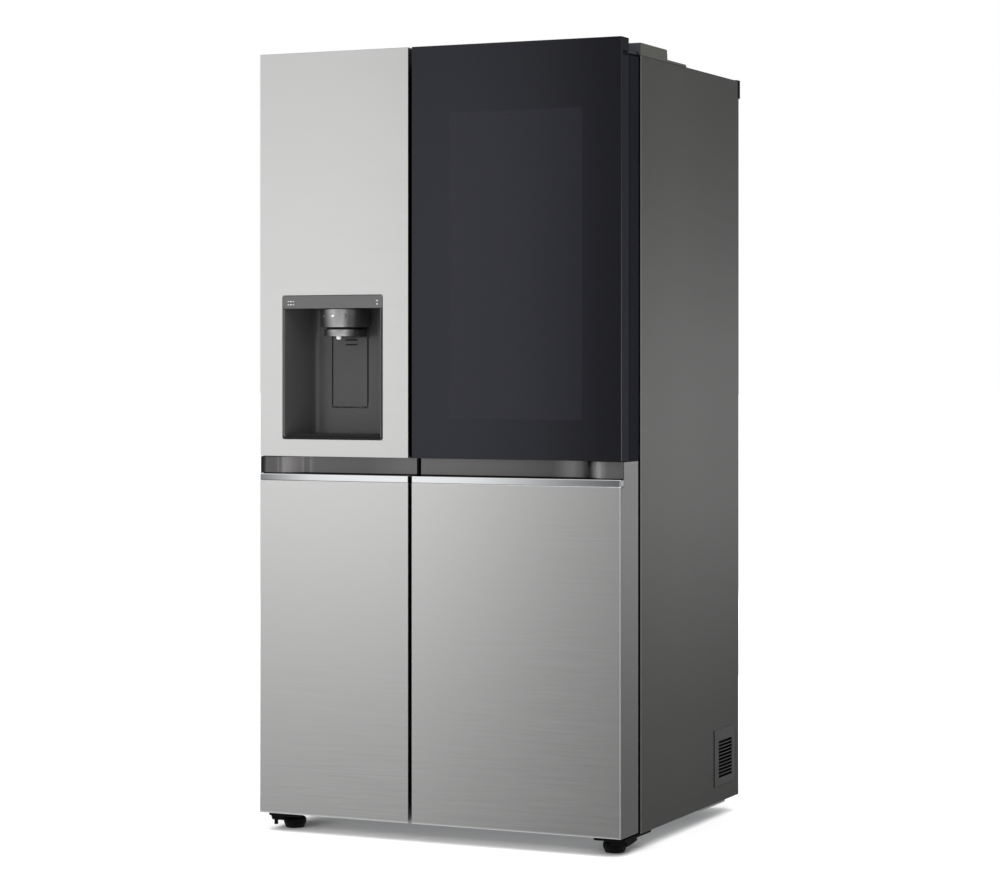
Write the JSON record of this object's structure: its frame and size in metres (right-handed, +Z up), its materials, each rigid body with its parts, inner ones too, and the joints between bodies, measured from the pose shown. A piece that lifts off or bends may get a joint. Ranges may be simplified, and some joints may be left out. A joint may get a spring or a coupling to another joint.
{
  "type": "side by side refrigerator",
  "caption": "Tall free-standing refrigerator with side by side doors, a glass door-in-door, recessed handles and an ice and water dispenser.",
  "frame": {"origin": "middle of the footprint, on the floor", "axes": "+Z up, doors facing -Y, +X towards the right side as seen from the front"},
  "size_m": [0.9, 0.759, 1.791],
  "materials": {
    "door_steel": "level brushed grain, satin",
    "case_paint": "dark grey, fine texture",
    "black_plastic": "matt black",
    "cover_plastic": "matt warm grey",
    "pocket_plastic": "dark grey, semi-gloss",
    "bright_trim": "bright satin",
    "door_glass": "smoked black, polished",
    "door_frame": "black, satin",
    "clear_plastic": "clear",
    "liner_plastic": "white, semi-gloss",
    "gasket_rubber": "grey, soft",
    "foam": "rigid insulation foam",
    "zinc_steel": "zinc plated",
    "fin_aluminium": "bare fins",
    "dispenser_grey": "dark grey, semi-gloss",
    "nozzle_grey": "grey, semi-gloss"
  },
  "bodies": {
    "cabinet": {"left_side_panel": "case_paint", "right_side_panel": "case_paint", "top_panel": "case_paint", "back_panel": "case_paint", "machine_cover": "black_plastic", "base_frame": "zinc_steel", "insulation_foam": "foam", "freezer_liner": "liner_plastic", "fridge_liner": "liner_plastic", "divider_strip": "case_paint", "rear_top_rail": "black_plastic", "upper_hinge_left": "zinc_steel", "upper_hinge_right": "zinc_steel", "hinge_cover_left": "cover_plastic", "hinge_cover_right": "cover_plastic", "lower_hinge_left": "black_plastic", "lower_hinge_right": "black_plastic", "side_vent_grille": "pocket_plastic", "compressor": "black_plastic", "condenser": "fin_aluminium", "drain_pan": "pocket_plastic", "evaporator": "fin_aluminium", "freezer_duct_cover": "liner_plastic", "fridge_duct_cover": "liner_plastic", "ice_maker": "liner_plastic", "ice_bucket": "clear_plastic", "freezer_shelf": "clear_plastic", "fridge_shelf_upper": "clear_plastic", "fridge_shelf_lower": "clear_plastic"},
    "freezer_door": {"freezer_door_core": "liner_plastic", "freezer_upper_skin": "door_steel", "freezer_lower_skin": "door_steel", "freezer_handle_pocket": "pocket_plastic", "freezer_trim_strip": "bright_trim", "freezer_gasket": "gasket_rubber", "freezer_bin_upper": "clear_plastic", "freezer_bin_lower": "clear_plastic", "dispenser_housing": "dispenser_grey", "dispenser_panel": "nozzle_grey", "dispenser_nozzle": "nozzle_grey", "drip_tray": "black_plastic"},
    "dispenser_lever": {"dispenser_lever": "dispenser_grey"},
    "fridge_door": {"fridge_door_core": "door_frame", "fridge_lower_skin": "door_steel", "fridge_handle_pocket": "pocket_plastic", "fridge_trim_strip": "bright_trim", "fridge_gasket": "gasket_rubber", "fridge_basket_upper": "clear_plastic", "fridge_basket_lower": "clear_plastic"},
    "glass_door": {"glass_door_frame": "door_frame", "glass_door_glass": "door_glass", "glass_door_gasket": "gasket_rubber"},
    "freezer_drawer": {"freezer_drawer": "clear_plastic"},
    "crisper_drawer": {"crisper_drawer": "clear_plastic"},
    "front_foot_left": {"front_foot_left": "black_plastic"},
    "front_foot_right": {"front_foot_right": "black_plastic"},
    "rear_roller_left": {"rear_roller_left": "black_plastic"},
    "rear_roller_right": {"rear_roller_right": "black_plastic"},
    "condenser_fan": {"condenser_fan": "pocket_plastic"},
    "evaporator_fan": {"evaporator_fan": "pocket_plastic"}
  },
  "joints": [
    {"name": "freezer_door_hinge", "type": "hinge", "parent": "cabinet", "child": "freezer_door", "pos_m": [-0.434, -0.3115, 0.9], "axis": [0, 0, -1], "range_deg": [0, 120]},
    {"name": "fridge_door_hinge", "type": "hinge", "parent": "cabinet", "child": "fridge_door", "pos_m": [0.434, -0.3115, 0.9], "axis": [0, 0, 1], "range_deg": [0, 120]},
    {"name": "glass_door_hinge", "type": "hinge", "parent": "fridge_door", "child": "glass_door", "pos_m": [0.44, -0.359, 1.3], "axis": [0, 0, 1], "range_deg": [0, 100]},
    {"name": "dispenser_lever_hinge", "type": "hinge", "parent": "freezer_door", "child": "dispenser_lever", "pos_m": [-0.2655, -0.2825, 1.137], "axis": [1, 0, 0], "range_deg": [0, 5.5], "stiffness_Nm_per_rad": 0.3, "springref_deg": -17.19},
    {"name": "freezer_drawer_slide", "type": "slide", "parent": "cabinet", "child": "freezer_drawer", "axis": [0, -1, 0], "range_m": [0, 0.095]},
    {"name": "crisper_drawer_slide", "type": "slide", "parent": "cabinet", "child": "crisper_drawer", "axis": [0, -1, 0], "range_m": [0, 0.095]},
    {"name": "front_foot_left_thread", "type": "slide", "parent": "cabinet", "child": "front_foot_left", "axis": [0, 0, -1], "range_m": [0, 0.015]},
    {"name": "front_foot_right_thread", "type": "slide", "parent": "cabinet", "child": "front_foot_right", "axis": [0, 0, -1], "range_m": [0, 0.015]},
    {"name": "rear_roller_left_spin", "type": "hinge", "parent": "cabinet", "child": "rear_roller_left", "pos_m": [-0.338, 0.2205, 0.018], "axis": [1, 0, 0], "continuous": true},
    {"name": "rear_roller_right_spin", "type": "hinge", "parent": "cabinet", "child": "rear_roller_right", "pos_m": [0.338, 0.2205, 0.018], "axis": [1, 0, 0], "continuous": true},
    {"name": "condenser_fan_spin", "type": "hinge", "parent": "cabinet", "child": "condenser_fan", "pos_m": [0.26, 0.2605, 0.135], "axis": [1, 0, 0], "continuous": true},
    {"name": "evaporator_fan_spin", "type": "hinge", "parent": "cabinet", "child": "evaporator_fan", "pos_m": [-0.247, 0.2755, 0.9], "axis": [0, 1, 0], "continuous": true}
  ]
}
